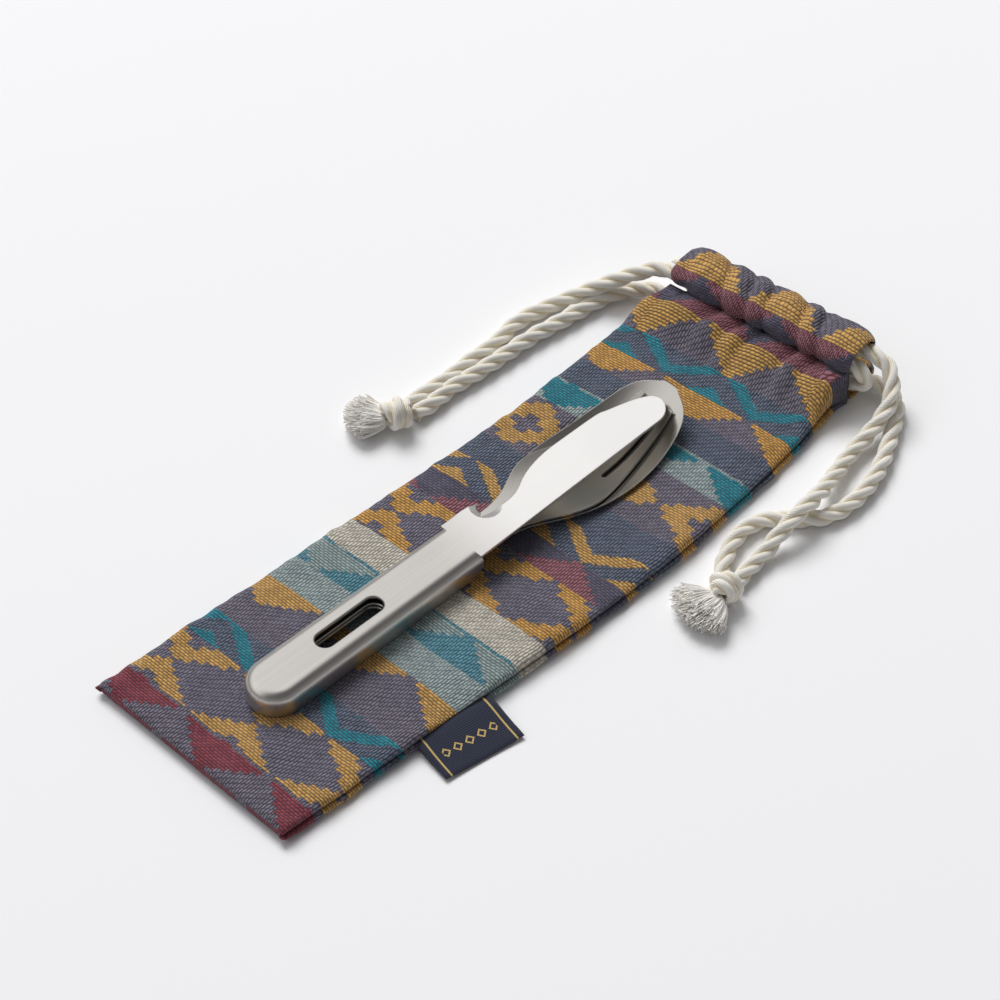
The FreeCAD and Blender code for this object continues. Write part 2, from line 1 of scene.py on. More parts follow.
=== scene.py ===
"""Nesting picnic cutlery lying on its woven drawstring pouch.

Lengths are metres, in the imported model's frame: +X towards the bowls and the pouch's mouth.
"""
import json
import math

import bpy
from mathutils import Matrix, Vector, noise
from mathutils.bvhtree import BVHTree

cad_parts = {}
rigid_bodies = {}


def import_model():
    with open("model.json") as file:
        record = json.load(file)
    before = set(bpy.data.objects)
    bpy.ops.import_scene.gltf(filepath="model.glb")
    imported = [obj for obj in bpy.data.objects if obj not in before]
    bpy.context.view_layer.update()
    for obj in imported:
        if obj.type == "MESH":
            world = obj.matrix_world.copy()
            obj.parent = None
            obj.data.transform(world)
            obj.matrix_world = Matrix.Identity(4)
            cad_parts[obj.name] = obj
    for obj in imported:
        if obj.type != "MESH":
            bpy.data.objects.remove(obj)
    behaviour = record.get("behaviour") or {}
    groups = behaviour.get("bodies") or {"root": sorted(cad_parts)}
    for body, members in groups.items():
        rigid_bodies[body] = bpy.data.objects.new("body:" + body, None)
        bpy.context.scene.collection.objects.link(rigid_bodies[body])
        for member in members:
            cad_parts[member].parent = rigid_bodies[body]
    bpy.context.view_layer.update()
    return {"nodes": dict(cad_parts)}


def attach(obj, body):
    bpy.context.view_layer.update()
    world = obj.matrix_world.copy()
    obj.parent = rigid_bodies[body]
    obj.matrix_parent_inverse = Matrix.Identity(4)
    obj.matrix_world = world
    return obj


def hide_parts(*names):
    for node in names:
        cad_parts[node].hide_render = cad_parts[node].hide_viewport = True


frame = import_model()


# --- Camera, floor and light --------------------------------------------------------
# A long lens looks down the set from the handles' near side, over a plain pale table.
# Light is soft: a studio dome, bright over the far side and dim over the near side and the
# horizon so that the steel has something to reflect, and one large lamp for the shadows.
MM = 0.001


def srgb(hex_colour):
    """Linear RGBA from an sRGB hex colour such as "c4924a"."""
    channels = [int(hex_colour[i:i + 2], 16) / 255 for i in (0, 2, 4)]
    linear = [c / 12.92 if c <= 0.04045 else ((c + 0.055) / 1.055) ** 2.4 for c in channels]
    return (*linear, 1.0)


def node(tree, kind, inputs=None, **settings):
    """Add one node; inputs are values, sockets or nodes' first outputs, by name or index."""
    new = tree.nodes.new(kind)
    for name, value in settings.items():
        setattr(new, name, value)
    for key, value in (inputs or {}).items():
        if isinstance(value, bpy.types.Node):
            value = value.outputs[0]
        if isinstance(value, bpy.types.NodeSocket):
            tree.links.new(value, new.inputs[key])
        else:
            new.inputs[key].default_value = value
    return new


def new_material(name, finish=None):
    """A material with only a Principled shader, set to the finish given, and its output."""
    material = bpy.data.materials.new(name)
    material.use_nodes = True
    tree = material.node_tree
    tree.nodes.clear()
    shader = node(tree, "ShaderNodeBsdfPrincipled", finish)
    node(tree, "ShaderNodeOutputMaterial", {"Surface": shader})
    return material, tree, shader


in_scene = bpy.context.scene.collection.objects
camera_turn = math.radians(-44.73)
camera_height = math.radians(46.65)
camera_distance = 1.4176
camera_target = Vector((0.0091, 0.0220, 0.0))
camera_data = bpy.data.cameras.new("camera")
camera_data.lens = 162.0
camera_data.sensor_width = 36.0
camera_data.clip_start = 0.05
camera = bpy.data.objects.new("camera", camera_data)
away = Vector((math.sin(camera_turn) * math.cos(camera_height),
               -math.cos(camera_turn) * math.cos(camera_height),
               math.sin(camera_height)))
camera.location = camera_target + away * camera_distance
camera.rotation_euler = (math.pi / 2 - camera_height, 0.0, camera_turn)
in_scene.link(camera)
bpy.context.scene.camera = camera

bpy.context.scene.view_settings.view_transform = "Standard"

floor_half = 6.0
floor_z = -0.0002
floor_mesh = bpy.data.meshes.new("floor")
floor_mesh.from_pydata([(x * floor_half, y * floor_half, floor_z)
                        for x, y in ((-1, -1), (1, -1), (1, 1), (-1, 1))], [], [(0, 1, 2, 3)])
floor = bpy.data.objects.new("floor", floor_mesh)
in_scene.link(floor)
floor_paint = new_material("matt_white_table", {
    "Base Color": srgb("f9f9fa"), "Roughness": 0.9, "Specular IOR Level": 0.0})[0]
floor_mesh.materials.append(floor_paint)

# Heights in the dome are sines of the angle above the horizon, so 0.32 is 19 degrees up.
lit_strength = 1.06
world = bpy.data.worlds.new("studio_dome")
world.use_nodes = True
tree = world.node_tree
tree.nodes.clear()
direction = node(tree, "ShaderNodeTexCoord")
toward = node(tree, "ShaderNodeSeparateXYZ", {0: direction.outputs["Generated"]})
high = node(tree, "ShaderNodeMapRange", {
    "Value": toward.outputs["Z"], "From Min": 0.32, "From Max": 0.66},
    interpolation_type="SMOOTHSTEP")
far_half = node(tree, "ShaderNodeMapRange", {
    "Value": toward.outputs["Y"], "From Min": -0.07, "From Max": 0.48},
    interpolation_type="SMOOTHSTEP")
lit = node(tree, "ShaderNodeMath", {0: high, 1: far_half}, operation="MULTIPLY")
unlit = node(tree, "ShaderNodeMapRange", {
    "Value": toward.outputs["Z"], "From Min": 0.3, "From Max": 0.75, "To Min": 0.28,
    "To Max": 0.12})
strength = node(tree, "ShaderNodeMath", {
    0: lit, 1: lit_strength, 2: unlit}, operation="MULTIPLY_ADD")
dome = node(tree, "ShaderNodeBackground", {"Color": srgb("fdfdff"), "Strength": strength})
node(tree, "ShaderNodeOutputWorld", {"Surface": dome})
bpy.context.scene.world = world

lamp_data = bpy.data.lights.new("softbox", "AREA")
lamp_data.shape = "DISK"
lamp_data.size = 2.6
lamp_data.energy = 152.0
lamp = bpy.data.objects.new("softbox", lamp_data)
lamp.location = (1.20, 2.85, 3.50)
lamp.rotation_euler = (Vector((0.0, 0.0, 0.0)) - lamp.location).to_track_quat("-Z", "Y").to_euler()
lamp.visible_glossy = False
in_scene.link(lamp)


# --- Drawcords ----------------------------------------------------------------------
# Two loops of soft cotton rope, three strands laid to the right. Each runs along the front
# casing and back through the other, and its ends meet in a knot beside the pouch.
mouth_turn = math.radians(8.0)
mouth_start = (112.42, 8.5)
far_lane, near_lane = 4.9, 11.7
front_run_z, back_run_z = 16.0, 3.8
strands_across = 5.7
rope_pitch = 22.0
strand_share = 0.262  # a strand's radius over the rope's diameter
strand_wander = 0.08  # how far its thickness strays
table_gap = 0.05


def at_mouth(out, along, z):
    """Point in millimetres: out from the casings' joined edge, along them to the far end."""
    return (mouth_start[0] + out * math.cos(mouth_turn) - along * math.sin(mouth_turn),
            mouth_start[1] + out * math.sin(mouth_turn) + along * math.cos(mouth_turn), z)


def add_piece(name, points, faces, material):
    """A new smooth mesh piece from points in millimetres."""
    mesh = bpy.data.meshes.new(name)
    mesh.from_pydata([Vector(p) * MM for p in points], [], faces)
    mesh.shade_smooth()
    mesh.materials.append(material)
    piece = bpy.data.objects.new(name, mesh)
    in_scene.link(piece)
    return piece


def follow_route(name, route, steps):
    """Points in millimetres along the smooth NURBS line of a route."""
    curve = bpy.data.curves.new(name, "CURVE")
    curve.dimensions = "3D"
    curve.resolution_u = steps
    spline = curve.splines.new("NURBS")
    spline.points.add(len(route) - 1)
    for point, place in zip(spline.points, route):
        point.co = (*(Vector(place) * MM), 1.0)
    spline.order_u = 3
    spline.use_endpoint_u = True
    line = bpy.data.objects.new(name, curve)
    mesh = bpy.data.meshes.new_from_object(line)
    points = [v.co / MM for v in mesh.vertices]
    points = [b for a, b in zip([points[0] * 2] + points, points) if (b - a).length > 0.01]
    bpy.data.meshes.remove(mesh)
    bpy.data.objects.remove(line)
    bpy.data.curves.remove(curve)
    return points


def lay_rope(name, line, diameter, pitch, material):
    """Three strands wound to the right round a line.

    The UV map "lay" holds the length in centimetres and the way round each strand.
    """
    strand_radius = strand_share * diameter
    offset = diameter / 2 - strand_radius
    sides = 10
    points, faces, marks = [], [], []
    tangents = [(after - before).normalized()
                for before, after in zip([line[0]] + line[:-1], line[1:] + [line[-1]])]
    normal = tangents[0].orthogonal().normalized()
    travelled, length = [], 0.0
    frames = []
    for i, (here, tangent) in enumerate(zip(line, tangents)):
        length += (here - line[i - 1]).length if i else 0.0
        normal = (normal - tangent * normal.dot(tangent)).normalized()
        frames.append((here, normal, tangent.cross(normal)))
        travelled.append(length)
    for strand in range(3):
        first = len(points)
        for (here, across, up), run in zip(frames, travelled):
            angle = 2 * math.pi * (run / pitch + strand / 3)
            outward = across * math.cos(angle) + up * math.sin(angle)
            sideways = up * math.cos(angle) - across * math.sin(angle)
            wander = 1 + strand_wander * noise.noise(Vector((run / 3.1, strand * 7.0, diameter)))
            for side in range(sides):
                turn = 2 * math.pi * side / sides
                reach = offset + strand_radius * wander * math.cos(turn)
                point = (here + outward * reach
                         + sideways * strand_radius * wander * math.sin(turn))
                points.append((point.x, point.y, max(point.z, table_gap)))
        rings = len(line)
        for ring in range(rings - 1):
            for side in range(sides):
                after = (side + 1) % sides
                a, b = first + ring * sides, first + (ring + 1) * sides
                faces.append((a + side, a + after, b + after, b + side))
                marks += [(travelled[ring], side), (travelled[ring], side + 1),
                          (travelled[ring + 1], side + 1), (travelled[ring + 1], side)]
        faces.append([first + side for side in reversed(range(sides))])
        faces.append([first + (rings - 1) * sides + side for side in range(sides)])
        marks += [(0.0, sides - side) for side in range(sides)]
        marks += [(length, side) for side in range(sides)]
    rope = add_piece(name, points, faces, material)
    uv = rope.data.uv_layers.new(name="lay")
    for corner, (run, side) in zip(uv.data, marks):
        corner.uv = (run / 10, side / sides)
    return rope, length


# Undyed cotton yarn: matt and nearly white, with fine yarns across each strand, painted shade
# between the yarns, and a deeper cream painted as shade where the strands face into the grooves.
cotton, tree, shader = new_material("undyed_cotton_rope", {
    "Roughness": 0.95, "Specular IOR Level": 0.2, "Sheen Weight": 0.3, "Sheen Roughness": 0.5})
lay = node(tree, "ShaderNodeUVMap", uv_map="lay")
parts = node(tree, "ShaderNodeSeparateXYZ", {0: lay})
around = node(tree, "ShaderNodeMath", {0: parts.outputs["Y"], 1: 2 * math.pi}, operation="MULTIPLY")
facing = node(tree, "ShaderNodeMath", {0: around}, operation="COSINE")
groove = node(tree, "ShaderNodeMapRange", {
    "Value": facing, "From Min": -0.15, "From Max": 0.75}, interpolation_type="SMOOTHSTEP")
twist = node(tree, "ShaderNodeMath", {0: parts.outputs["X"], 1: -1.1}, operation="MULTIPLY")
yarns_run = node(tree, "ShaderNodeMath", {0: parts.outputs["Y"], 1: twist}, operation="ADD")
yarn_turn = node(tree, "ShaderNodeMath", {0: yarns_run, 1: 9 * 2 * math.pi}, operation="MULTIPLY")
yarn = node(tree, "ShaderNodeMath", {0: yarn_turn}, operation="SINE")
place = node(tree, "ShaderNodeTexCoord")
fuzz = node(tree, "ShaderNodeTexNoise", {
    "Vector": place.outputs["Object"], "Scale": 900.0, "Detail": 3.0})
soil = node(tree, "ShaderNodeTexNoise", {
    "Vector": place.outputs["Object"], "Scale": 70.0, "Detail": 2.0})
cream = node(tree, "ShaderNodeMix", {
    "Factor": soil.outputs["Fac"], 6: srgb("fffdf8"), 7: srgb("fbf5e8")}, data_type="RGBA")
yarn_shade = node(tree, "ShaderNodeMapRange", {
    "Value": yarn, "From Min": -1.0, "From Max": 0.2, "To Min": 0.90, "To Max": 1.0})
yarned = node(tree, "ShaderNodeMix", {
    "Factor": 1.0, 6: cream.outputs[2], 7: yarn_shade}, data_type="RGBA", blend_type="MULTIPLY")
# Painted shade: each strand's side that faces into the grooves takes the deeper cream f3e9d2.
tinted = node(tree, "ShaderNodeMix", {
    "Factor": groove, 6: srgb("f3e9d2"), 7: yarned.outputs[2]}, data_type="RGBA")
relief = node(tree, "ShaderNodeMath", {
    0: yarn, 1: 0.5, 2: fuzz.outputs["Fac"]}, operation="MULTIPLY_ADD")
bump = node(tree, "ShaderNodeBump", {"Height": relief, "Distance": 0.00016, "Strength": 0.8})
tree.links.new(tinted.outputs[2], shader.inputs["Base Color"])
tree.links.new(bump.outputs[0], shader.inputs["Normal"])

far_route = [
    (14.5, 70.9, 2.5), (24.0, 71.0, 2.5), (34.0, 70.1, 2.5), (44.0, 71.3, 2.5),
    (56.0, 70.6, 2.5), (67.0, 73.6, 2.5), (78.0, 71.6, 2.5), (88.5, 67.8, 3.6),
    (97.6, 61.6, 8.0), (105.8, 54.2, 12.6), at_mouth(far_lane, 38.0, front_run_z),
    at_mouth(far_lane, -39.5, front_run_z), at_mouth(far_lane, -39.5, back_run_z),
    at_mouth(far_lane, 38.5, back_run_z), (107.3, 55.9, 3.2), (98.6, 60.8, 2.5),
    (88.5, 62.3, 2.5), (77.5, 63.4, 2.5), (66.0, 65.1, 2.5), (52.0, 65.2, 2.5),
    (39.0, 65.8, 2.5), (31.0, 66.8, 2.5), (22.0, 65.6, 2.5), (14.5, 66.4, 2.5)]

near_route = [
    (34.6, -56.0, 2.5), (40.6, -54.9, 2.5), (46.8, -54.0, 2.5), (52.0, -53.6, 3.4),
    (58.6, -53.2, 6.4), (65.0, -53.1, 8.2), (74.0, -52.2, 8.2), (83.0, -49.6, 5.4),
    (93.0, -45.8, 3.2), (104.0, -43.3, 3.4), (114.4, -42.8, 5.4), (123.4, -40.6, 9.0),
    (130.0, -34.0, 13.2), at_mouth(near_lane, -37.0, front_run_z),
    at_mouth(near_lane, 39.5, front_run_z), at_mouth(near_lane, 39.5, back_run_z),
    at_mouth(near_lane, -41.5, back_run_z), (128.4, -39.0, 3.4), (121.0, -44.4, 2.8),
    (113.0, -48.9, 2.5), (105.0, -53.4, 2.5), (96.0, -56.8, 2.5), (86.0, -58.6, 2.5),
    (76.6, -57.8, 2.5), (69.6, -53.2, 2.5), (64.2, -46.8, 2.5), (57.2, -42.4, 2.5),
    (49.0, -42.4, 2.5), (42.0, -45.2, 2.5), (35.6, -48.8, 2.5), (30.8, -52.8, 2.5)]


# --- Knots and tassels --------------------------------------------------------------
# Each knot is the rope's own end wound twice round both ends and pulled tight. Past it the
# strands are unlaid and frayed into a short soft brush.
knot_rope_diameter, knot_rope_pitch = 5.2, 20.0
points_per_turn = 10
end_tuck = 0.9  # how far a knot's two ends are drawn in to its middle
shortest_fibre, outer_fibre = 0.72, 0.68  # over the longest, at random and by place
fibre_curl, fibre_lift = 1.4, 0.2
core_share = (0.30, 0.48, 0.27)  # the solid core's half sizes over the brush's sizes
core_place = (0.40, 0.0, 0.46)


def wind_knot(name, centre, heading, turns, advance, radius):
    """Rope wound about a heading through the knot's centre, with its ends tucked in."""
    ahead = Vector((math.cos(heading), math.sin(heading), 0.0))
    aside = Vector((-math.sin(heading), math.cos(heading), 0.0))
    count = round(points_per_turn * turns)
    route = []
    for i in range(count + 1):
        share = i / count - 0.5
        angle = 2 * math.pi * turns * share
        reach = radius * (1 - end_tuck * (2 * abs(share)) ** 6)
        route.append(Vector(centre) + ahead * advance * share
                     + aside * reach * math.cos(angle) + Vector((0, 0, reach * math.sin(angle))))
    return lay_rope(name, follow_route(name, route, 6), knot_rope_diameter,
                    knot_rope_pitch, cotton)[0]


brush = bpy.data.node_groups.new("frayed_strands", "GeometryNodeTree")
for socket, kind in (("Fibres", "NodeSocketInt"), ("Length", "NodeSocketFloat"),
                     ("Root radius", "NodeSocketFloat"), ("End half width", "NodeSocketFloat"),
                     ("End height", "NodeSocketFloat"), ("Thickness", "NodeSocketFloat"),
                     ("Material", "NodeSocketMaterial")):
    brush.interface.new_socket(socket, in_out="INPUT", socket_type=kind)
brush.interface.new_socket("Geometry", in_out="OUTPUT", socket_type="NodeSocketGeometry")
given = node(brush, "NodeGroupInput").outputs
roots = node(brush, "GeometryNodePoints", {"Count": given["Fibres"]})
straight = node(brush, "GeometryNodeCurvePrimitiveLine", {"Start": (0, 0, 0), "End": (1, 0, 0)})
jointed = node(brush, "GeometryNodeResampleCurve", {"Curve": straight, "Count": 9})
sown = node(brush, "GeometryNodeInstanceOnPoints", {"Points": roots, "Instance": jointed})
loose = node(brush, "GeometryNodeRealizeInstances", {0: sown})
number = node(brush, "GeometryNodeInputIndex")
fibre = node(brush, "GeometryNodeFieldOnDomain", {0: number}, domain="CURVE", data_type="INT")
spread = node(brush, "FunctionNodeRandomValue", {
    0: (-1, -1, -1), 1: (1, 1, 1), "ID": fibre, "Seed": 11}, data_type="FLOAT_VECTOR")
spread_parts = node(brush, "ShaderNodeSeparateXYZ", {0: spread})
spread_turn = node(brush, "ShaderNodeMath", {
    0: spread_parts.outputs["X"], 1: math.pi}, operation="MULTIPLY")
from_middle = node(brush, "ShaderNodeMath", {0: spread_parts.outputs["Y"]}, operation="ABSOLUTE")
spread_reach = node(brush, "ShaderNodeMath", {0: from_middle}, operation="SQRT")
turn_cosine = node(brush, "ShaderNodeMath", {0: spread_turn}, operation="COSINE")
turn_sine = node(brush, "ShaderNodeMath", {0: spread_turn}, operation="SINE")
across = node(brush, "ShaderNodeMath", {0: turn_cosine, 1: spread_reach}, operation="MULTIPLY")
upward = node(brush, "ShaderNodeMath", {0: turn_sine, 1: spread_reach}, operation="MULTIPLY")
rounding = node(brush, "ShaderNodeMath", {
    0: from_middle, 1: outer_fibre - 1.0, 2: 1.0}, operation="MULTIPLY_ADD")
bend = node(brush, "FunctionNodeRandomValue", {
    0: (-1, -1, -1), 1: (1, 1, 1), "ID": fibre, "Seed": 23}, data_type="FLOAT_VECTOR")
fibre_length = node(brush, "FunctionNodeRandomValue", {
    2: shortest_fibre, 3: 1.0, "ID": fibre, "Seed": 37}, data_type="FLOAT")
reach = node(brush, "ShaderNodeMath", {
    0: fibre_length.outputs[1], 1: rounding}, operation="MULTIPLY")
factor = node(brush, "GeometryNodeSplineParameter").outputs["Factor"]
eased = node(brush, "ShaderNodeMath", {0: factor, 1: 0.6}, operation="POWER")
run = node(brush, "ShaderNodeMath", {0: factor, 1: reach}, operation="MULTIPLY")
along = node(brush, "ShaderNodeMath", {0: run, 1: given["Length"]}, operation="MULTIPLY")
half_width = node(brush, "ShaderNodeMix", {
    "Factor": eased, 2: given["Root radius"], 3: given["End half width"]}, data_type="FLOAT")
aside = node(brush, "ShaderNodeMath", {0: across, 1: half_width}, operation="MULTIPLY")
height = node(brush, "ShaderNodeMapRange", {
    "Value": upward, "From Min": -1.0, "From Max": 1.0, "To Min": 0.05, "To Max": 1.0})
rise = node(brush, "ShaderNodeMath", {0: height, 1: given["End height"]}, operation="MULTIPLY")
root_rise = node(brush, "ShaderNodeMath", {0: given["Root radius"], 1: 2.0}, operation="MULTIPLY")
start_rise = node(brush, "ShaderNodeMath", {0: height, 1: root_rise}, operation="MULTIPLY")
up = node(brush, "ShaderNodeMix", {"Factor": eased, 2: start_rise, 3: rise}, data_type="FLOAT")
laid = node(brush, "ShaderNodeCombineXYZ", {0: along, 1: aside, 2: up})
wave = node(brush, "ShaderNodeTexNoise", {"Vector": laid, "Scale": 260.0, "Detail": 1.0})
centred = node(brush, "ShaderNodeVectorMath", {
    0: wave.outputs["Color"], 1: (0.5, 0.5, 0.5)}, operation="SUBTRACT")
curl = node(brush, "ShaderNodeVectorMath", {0: centred, 1: bend}, operation="ADD")
curl_size = node(brush, "ShaderNodeMath", {0: factor, 1: fibre_curl * MM}, operation="MULTIPLY")
curled = node(brush, "ShaderNodeVectorMath", {0: curl, "Scale": curl_size}, operation="SCALE")
placed = node(brush, "ShaderNodeVectorMath", {0: laid, 1: curled}, operation="ADD")
floor_parts = node(brush, "ShaderNodeSeparateXYZ", {0: placed})
on_table = node(brush, "ShaderNodeMath", {
    0: floor_parts.outputs["Z"], 1: fibre_lift * MM}, operation="MAXIMUM")
resting = node(brush, "ShaderNodeCombineXYZ", {
    0: floor_parts.outputs["X"], 1: floor_parts.outputs["Y"], 2: on_table})
fibres = node(brush, "GeometryNodeSetPosition", {"Geometry": loose, "Position": resting})
profile = node(brush, "GeometryNodeCurvePrimitiveCircle", {
    "Resolution": 4, "Radius": given["Thickness"]})
hairs = node(brush, "GeometryNodeCurveToMesh", {"Curve": fibres, "Profile Curve": profile})
overall = node(brush, "ShaderNodeCombineXYZ", {
    0: given["Length"], 1: given["End half width"], 2: given["End height"]})
core_size = node(brush, "ShaderNodeVectorMath", {
    0: overall, 1: core_share}, operation="MULTIPLY")
core_centre = node(brush, "ShaderNodeVectorMath", {
    0: overall, 1: core_place}, operation="MULTIPLY")
ball = node(brush, "GeometryNodeMeshUVSphere", {"Segments": 32, "Rings": 16, "Radius": 1.0})
core = node(brush, "GeometryNodeTransform", {
    "Geometry": ball, "Translation": core_centre, "Scale": core_size})
both = node(brush, "GeometryNodeJoinGeometry", {0: hairs})
brush.links.new(core.outputs[0], both.inputs[0])
flesh = node(brush, "GeometryNodeRealizeInstances", {0: both})
coloured = node(brush, "GeometryNodeSetMaterial", {
    "Geometry": flesh, "Material": given["Material"]})
node(brush, "NodeGroupOutput", {0: coloured})

# Loose cotton fibre: matt and nearly white, because no groove of the lay shades it.
frayed, tree, shader = new_material("frayed_cotton_fibre", {
    "Roughness": 0.95, "Specular IOR Level": 0.1})
place = node(tree, "ShaderNodeTexCoord")
clump = node(tree, "ShaderNodeTexNoise", {"Vector": place.outputs["Object"], "Scale": 500.0})
fibre_colour = node(tree, "ShaderNodeMix", {
    "Factor": clump.outputs["Fac"], 6: srgb("ffffff"), 7: srgb("faf5ea")}, data_type="RGBA")
tree.links.new(fibre_colour.outputs[2], shader.inputs["Base Color"])


def fray(name, centre, heading, length, half_width):
    """Brush of loose fibres from the knot's end, as a plain mesh at the origin."""
    holder = bpy.data.objects.new(name + "_maker", bpy.data.meshes.new(name + "_maker"))
    in_scene.link(holder)
    modifier = holder.modifiers.new("fray", "NODES")
    modifier.node_group = brush
    sizes = {"Fibres": 2200, "Length": length * MM, "Root radius": 3.0 * MM,
             "End half width": half_width * MM, "End height": 7.4 * MM,
             "Thickness": 0.19 * MM, "Material": frayed}
    for socket in brush.interface.items_tree:
        if socket.name in sizes:
            modifier[socket.identifier] = sizes[socket.name]
    mesh = bpy.data.meshes.new_from_object(holder.evaluated_get(
        bpy.context.evaluated_depsgraph_get()))
    bpy.data.objects.remove(holder)
    mesh.materials.clear()
    mesh.materials.append(frayed)
    mesh.polygons.foreach_set("material_index", [0] * len(mesh.polygons))
    ahead = Matrix.Rotation(heading, 4, "Z")
    mesh.transform(Matrix.Translation(Vector(centre) * MM) @ ahead)
    mesh.shade_smooth()
    piece = bpy.data.objects.new(name, mesh)
    in_scene.link(piece)
    return piece


knots = {
    "far": wind_knot("far_knot_rope", (8.7, 68.2, 5.9), math.radians(-20), 2.4, 7.4, 3.3),
    "near": wind_knot("near_knot_rope", (28.4, -56.8, 5.9), math.radians(14), 2.0, 6.4, 3.3)}
tassels = {
    "far": fray("far_frayed_end", (6.0, 70.8, 0.2), math.radians(134), 13.0, 7.6),
    "near": fray("near_frayed_end", (25.2, -57.3, 0.2), math.radians(174), 14.0, 10.2)}

for side, route in (("far", far_route), ("near", near_route)):
    line = follow_route(side + "_route", route, 20)
    cord, length = lay_rope(side + "_drawcord_rope", line, strands_across, rope_pitch, cotton)
    for piece in (cord, knots[side], tassels[side]):
        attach(piece, side + "_drawcord")
    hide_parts("cord_" + side)
    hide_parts("knot_" + side)
    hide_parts("tassel_" + side)


# --- Knife, fork and spoon ----------------------------------------------------------
# Each is one blank of stainless steel, pressed to shape and brushed along its length. Their
# sheared edges are broken, so that each rim catches a thin line of light.
def brushed_steel(name, colour, roughness, grain):
    """Cold-rolled stainless steel with brushing lines along X; grain is their strength.

    The lines are drawn coarser than a real grit's, which would be too fine to show.
    """
    material, tree, shader = new_material(name, {"Metallic": 1.0})
    place = node(tree, "ShaderNodeTexCoord")
    drawn = node(tree, "ShaderNodeMapping", {
        "Vector": place.outputs["Object"], "Scale": (14.0, 1500.0, 1500.0)})
    lines = node(tree, "ShaderNodeTexNoise", {"Vector": drawn, "Scale": 1.0, "Detail": 4.0})
    handled = node(tree, "ShaderNodeTexNoise", {
        "Vector": place.outputs["Object"], "Scale": 45.0, "Detail": 2.0})
    worn = node(tree, "ShaderNodeMath", {
        0: lines.outputs["Fac"], 1: grain, 2: handled.outputs["Fac"]}, operation="MULTIPLY_ADD")
    rough = node(tree, "ShaderNodeMapRange", {
        "Value": worn, "From Max": 1.0 + grain, "To Min": roughness - 0.06,
        "To Max": roughness + 0.06})
    tone = node(tree, "ShaderNodeMapRange", {
        "Value": lines.outputs["Fac"], "From Min": 0.3, "From Max": 0.7,
        "To Min": 1.0 - 0.10 * grain, "To Max": 1.0})
    shade = node(tree, "ShaderNodeMix", {
        "Factor": 1.0, 6: srgb(colour), 7: tone}, data_type="RGBA", blend_type="MULTIPLY")
    broken_edge = node(tree, "ShaderNodeBevel", {"Radius": 0.4 * MM}, samples=6)
    bump = node(tree, "ShaderNodeBump", {
        "Height": lines.outputs["Fac"], "Distance": 0.000006, "Strength": 0.3 * grain,
        "Normal": broken_edge})
    tree.links.new(shade.outputs[2], shader.inputs["Base Color"])
    tree.links.new(rough.outputs[0], shader.inputs["Roughness"])
    tree.links.new(bump.outputs[0], shader.inputs["Normal"])
    return material, tree, shader


# Knife: handle coarsely brushed, blade ground finer; the blade's lighter colour is painted
# reflection.
satin, tree, shader = brushed_steel("satin_brushed_stainless_steel", "d4d0ca", 0.34, 1.0)
place = node(tree, "ShaderNodeTexCoord")
lengthwise = node(tree, "ShaderNodeSeparateXYZ", {0: place.outputs["Object"]})
blade_part = node(tree, "ShaderNodeMapRange", {
    "Value": lengthwise.outputs["X"], "From Min": -0.034, "From Max": 0.004},
    interpolation_type="SMOOTHSTEP")
coarse = shader.inputs["Base Color"].links[0].from_socket
# Painted reflection: the blade's colour is lightened to f6f4f0 for the bright light its flat face
# reflects.
blade_painted_reflection = node(tree, "ShaderNodeMix", {
    "Factor": blade_part, 6: coarse, 7: srgb("f6f4f0")}, data_type="RGBA")
tree.links.new(blade_painted_reflection.outputs[2], shader.inputs["Base Color"])
heads = brushed_steel("lightly_brushed_stainless_steel", "bbb7b0", 0.19, 0.25)[0]
for name, finish in (("knife", satin), ("fork", heads), ("spoon", heads)):
    cad_piece = frame["nodes"][name]
    cad_piece.data.materials.clear()
    cad_piece.data.materials.append(finish)


# --- Pouch --------------------------------------------------------------------------
# Two rectangles of jacquard-woven cotton sewn along both sides and folded at the closed
# end. It lies empty and slightly puffed; the bowl presses a hollow in the upper cloth.
closed_x = -133.8
flat_length, flat_width = 246.0, 84.0  # inside the seams
lip_half = 35.2
gathered_half = 34.6  # the cloth between its seams, along the casings
tucked = 1.2  # how far the cloth runs on past the casings' joined edge
turn_in = 9.0  # over which its sides turn in to the lip
pouch_thick = 5.8
cloth = 0.8
seam_z = 2.7
seam_waver = 0.5
near_side = (-31.5, (-16.0, -36.0), 537.0)
far_side = (50.0, (4.0, 44.8), 619.0)
# The turned edge, from the seam over to the flat: inset from the outermost line, rise.
sewn_edge = [(1.3, 0.0), (0.45, 0.10), (0.08, 0.28), (0.0, 0.46), (0.25, 0.66), (0.9, 0.84),
             (2.0, 0.94), (3.6, 0.99), (5.2, 1.0)]
folded_edge = [(0.0, 0.0), (0.04, 0.2), (0.2, 0.45), (0.6, 0.68), (1.4, 0.86), (2.8, 0.96),
               (4.6, 1.0)]
# Places of the folds between the mouth's gathers, along the casings from the near end.
gathers = [-35.5, -15.5, -8.5, 4.9, 12.0, 21.6, 35.5]
# The spoon lies along axis_y. Its neck and bowl are measured from the handles' butt, and the
# heights are its underside's above the table.
butt_x, axis_y = -108.5, 8.5
neck_start, bowl_deepest, bowl_end = 98.0, 149.0, 181.8
neck_z, bowl_z = 8.4, 2.2
bowl_tip_rise, bowl_side_rise, bowl_half_width = 12.0, 3.1, 16.8
under_spoon_gap, under_steel_gap = 0.45, 0.35
lip_z, lip_ramp = 13.4, 20.0  # the upper cloth climbs to its casing over the ramp
fold_height, fold_length = 2.2, 30.0
fold_slant = 7.0  # how far askew each fold runs across the front casing
peek_mean, peek_stray = 1.0, 0.9  # the lower cloth's edge past the upper one's


